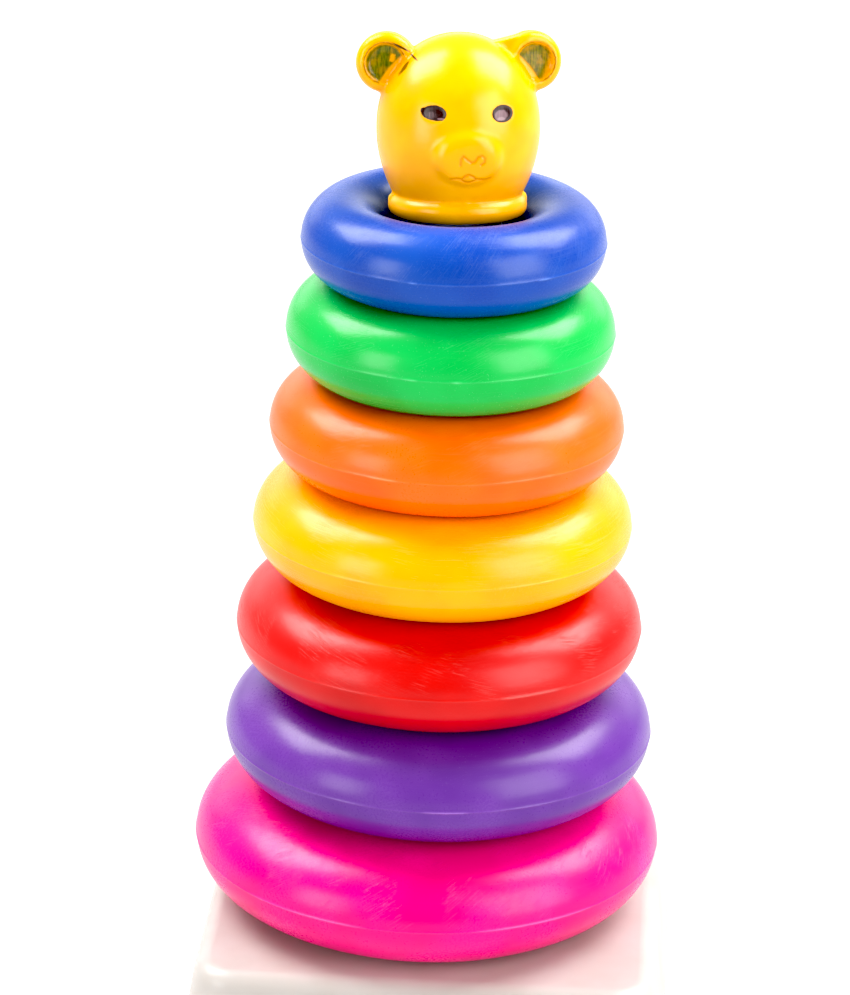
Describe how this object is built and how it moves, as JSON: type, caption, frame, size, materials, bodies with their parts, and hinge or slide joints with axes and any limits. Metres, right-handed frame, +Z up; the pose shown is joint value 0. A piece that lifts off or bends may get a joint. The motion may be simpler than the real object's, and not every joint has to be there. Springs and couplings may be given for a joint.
{
  "type": "stacking ring toy",
  "caption": "Toddler's stacking toy: hollow rings of falling size on a post over a square base, with a bear's head that caps the post and holds the stack.",
  "frame": {"origin": "on the table under the middle of the base, which is also the post's axis", "axes": "+Z up along the post, -Y is the front, where the bear's face looks, +X is to the right seen from the front"},
  "size_m": [0.16, 0.16, 0.3145],
  "materials": {
    "white": "waxy translucent off-white polyethylene, satin",
    "pink": "semi-gloss blow-moulded polyethylene, finely scratched",
    "purple": "semi-gloss blow-moulded polyethylene, finely scratched",
    "red": "semi-gloss blow-moulded polyethylene, finely scratched",
    "yellow": "semi-gloss blow-moulded polyethylene, finely scratched",
    "orange": "semi-gloss blow-moulded polyethylene, finely scratched",
    "green": "semi-gloss blow-moulded polyethylene, finely scratched",
    "blue": "semi-gloss blow-moulded polyethylene, finely scratched",
    "head_yellow": "semi-gloss blow-moulded polyethylene with painted eyes and ears"
  },
  "bodies": {
    "stand": {"base": "white", "post": "white"},
    "pink_ring": {"pink_ring": "pink"},
    "purple_ring": {"purple_ring": "purple"},
    "red_ring": {"red_ring": "red"},
    "yellow_ring": {"yellow_ring": "yellow"},
    "orange_ring": {"orange_ring": "orange"},
    "green_ring": {"green_ring": "green"},
    "blue_ring": {"blue_ring": "blue"},
    "bear_head": {"bear_head": "head_yellow"}
  },
  "joints": [
    {"name": "pink_lift", "type": "slide", "parent": "stand", "child": "pink_ring", "axis": [0, 0, 1], "range_m": [0, 0.244]},
    {"name": "purple_lift", "type": "slide", "parent": "pink_ring", "child": "purple_ring", "axis": [0, 0, 1], "range_m": [0, 0.204]},
    {"name": "red_lift", "type": "slide", "parent": "purple_ring", "child": "red_ring", "axis": [0, 0, 1], "range_m": [0, 0.168]},
    {"name": "yellow_lift", "type": "slide", "parent": "red_ring", "child": "yellow_ring", "axis": [0, 0, 1], "range_m": [0, 0.133]},
    {"name": "orange_lift", "type": "slide", "parent": "yellow_ring", "child": "orange_ring", "axis": [0, 0, 1], "range_m": [0, 0.099]},
    {"name": "green_lift", "type": "slide", "parent": "orange_ring", "child": "green_ring", "axis": [0, 0, 1], "range_m": [0, 0.067]},
    {"name": "blue_lift", "type": "slide", "parent": "green_ring", "child": "blue_ring", "axis": [0, 0, 1], "range_m": [0, 0.037]},
    {"name": "head_lift", "type": "slide", "parent": "blue_ring", "child": "bear_head", "axis": [0, 0, 1], "range_m": [0, 0.02]}
  ]
}
